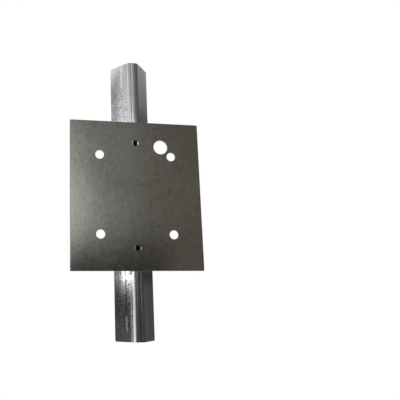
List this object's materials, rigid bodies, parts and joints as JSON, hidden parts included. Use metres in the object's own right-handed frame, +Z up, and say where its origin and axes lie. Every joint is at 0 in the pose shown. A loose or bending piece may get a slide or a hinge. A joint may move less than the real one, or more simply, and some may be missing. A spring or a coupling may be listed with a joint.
{
  "type": "pole mount adapter",
  "caption": "Flat steel mounting plate with bolt holes and a cable hole, screwed to a folded galvanised rail that straddles a round pole and takes a strap past each end of the plate.",
  "frame": {"origin": "middle of the four device holes, on the front face of the plate", "axes": "+Z up along the rail, -Y out of the front face towards the device, +Y towards the pole, +X to the right seen from the front"},
  "size_m": [0.15, 0.0259, 0.32],
  "materials": {
    "plate_steel": "dull dark grey rolled steel, faintly mottled",
    "galvanised_sheet": "bright zinc coating with a fine spangle",
    "screw_black": "black oxide",
    "nut_zinc": "zinc plated"
  },
  "bodies": {
    "root": {"mounting_plate": "plate_steel", "pole_rail": "galvanised_sheet", "top_screw": "screw_black", "bottom_screw": "screw_black", "top_nut": "nut_zinc", "bottom_nut": "nut_zinc"}
  },
  "joints": []
}
